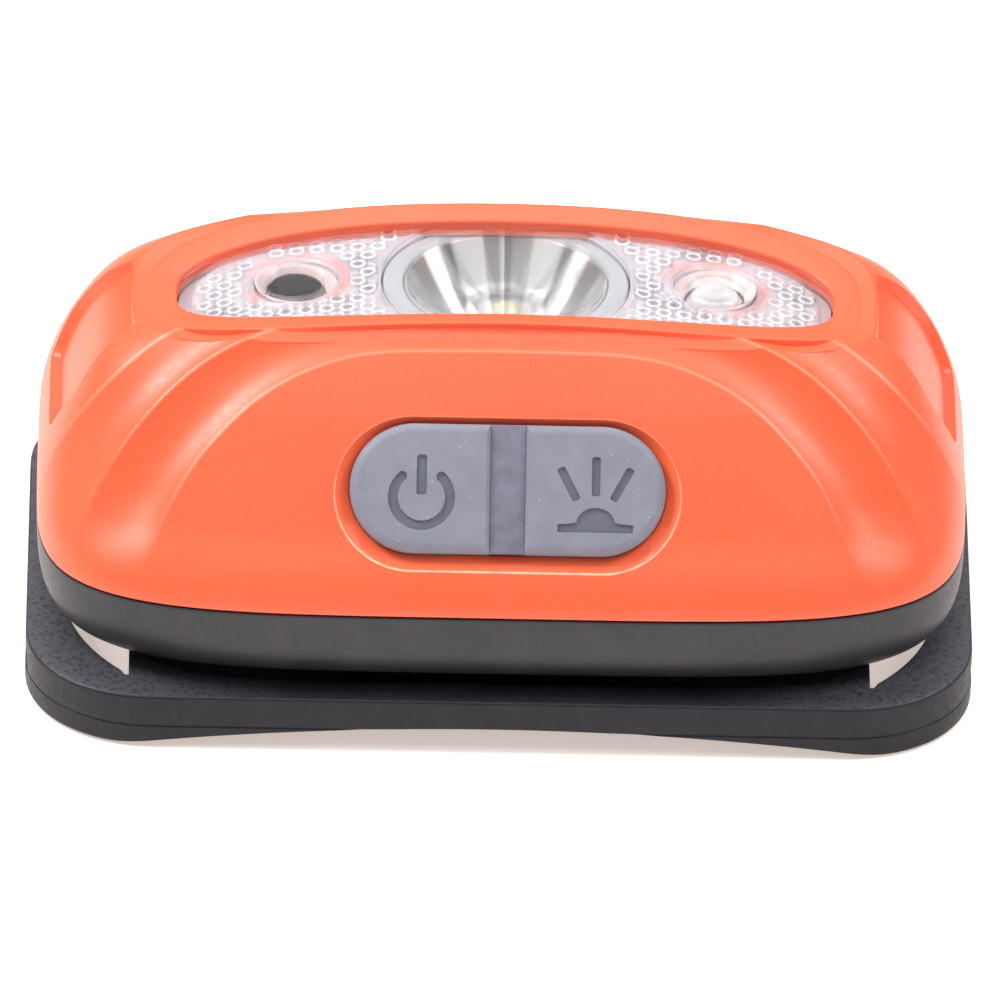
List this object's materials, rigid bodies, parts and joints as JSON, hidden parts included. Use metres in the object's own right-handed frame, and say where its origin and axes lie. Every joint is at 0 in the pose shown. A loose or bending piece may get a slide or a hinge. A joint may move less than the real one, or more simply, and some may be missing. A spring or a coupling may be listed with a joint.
{
  "type": "headlamp",
  "caption": "Rechargeable headlamp whose orange lamp body tilts on a slotted strap bracket, with press keys on its sloped side and a covered charging port.",
  "frame": {"origin": "middle of the bracket's underside, on the plane that its two feet rest on", "axes": "+X along the length, -Y towards the keypad (the top edge when worn), +Z along the beam"},
  "size_m": [0.062, 0.0404, 0.0254],
  "materials": {
    "shell_orange": "fine matte moulded ABS, orange",
    "cover_black": "satin moulded black",
    "bracket_black": "grained blue-black moulding",
    "key_silicone": "matte grey silicone",
    "clear_lens": "polished clear polycarbonate",
    "textured_lens": "clear with moulded ring dimples",
    "reflector_silver": "vacuum metallised",
    "frame_grey": "light grey moulding",
    "board_green": "solder mask",
    "steel": "plain steel",
    "sensor_black": "glossy black dome",
    "led_phosphor": "yellow phosphor under a clear dome",
    "battery_foil": "laminated foil pouch",
    "lead_red": "insulation",
    "lead_black": "insulation",
    "gasket_rubber": "black silicone rubber",
    "switch_black": "moulded plunger"
  },
  "bodies": {
    "bracket_body": {"bracket": "bracket_black", "hinge_pin": "steel"},
    "housing": {"front_shell": "shell_orange", "rear_cover": "cover_black", "lens_cover": "clear_lens", "left_insert": "textured_lens", "right_insert": "textured_lens", "reflector": "reflector_silver", "reflector_frame": "frame_grey", "main_pcb": "board_green", "switch_board": "board_green", "led_board": "frame_grey", "main_led": "led_phosphor", "side_led": "led_phosphor", "motion_sensor": "sensor_black", "keypad_web": "key_silicone", "power_switch": "steel", "sensor_switch": "steel", "battery": "battery_foil", "battery_lead_red": "lead_red", "battery_lead_black": "lead_black", "usb_socket": "steel", "housing_gasket": "gasket_rubber", "pcb_screw_left": "steel", "pcb_screw_right": "steel", "case_screw_1": "steel", "case_screw_2": "steel", "case_screw_3": "steel", "case_screw_4": "steel"},
    "power_button": {"power_key": "key_silicone", "power_plunger": "switch_black"},
    "sensor_button": {"sensor_key": "key_silicone", "sensor_plunger": "switch_black"},
    "port_flap": {"usb_flap": "gasket_rubber"}
  },
  "joints": [
    {"name": "housing_tilt", "type": "hinge", "parent": "bracket_body", "child": "housing", "pos_m": [0, 0.0173, 0.0053], "axis": [-1, 0, 0], "range_deg": [0, 60]},
    {"name": "power_key_press", "type": "slide", "parent": "housing", "child": "power_button", "axis": [0, 0.8077, -0.5896], "range_m": [0, 0.0006], "stiffness_N_per_m": 2000},
    {"name": "sensor_key_press", "type": "slide", "parent": "housing", "child": "sensor_button", "axis": [0, 0.8077, -0.5896], "range_m": [0, 0.0006], "stiffness_N_per_m": 2000},
    {"name": "port_flap_hinge", "type": "hinge", "parent": "housing", "child": "port_flap", "pos_m": [0.00025, 0.01777, 0.01269], "axis": [-1, 0, 0], "range_deg": [0, 100]}
  ]
}
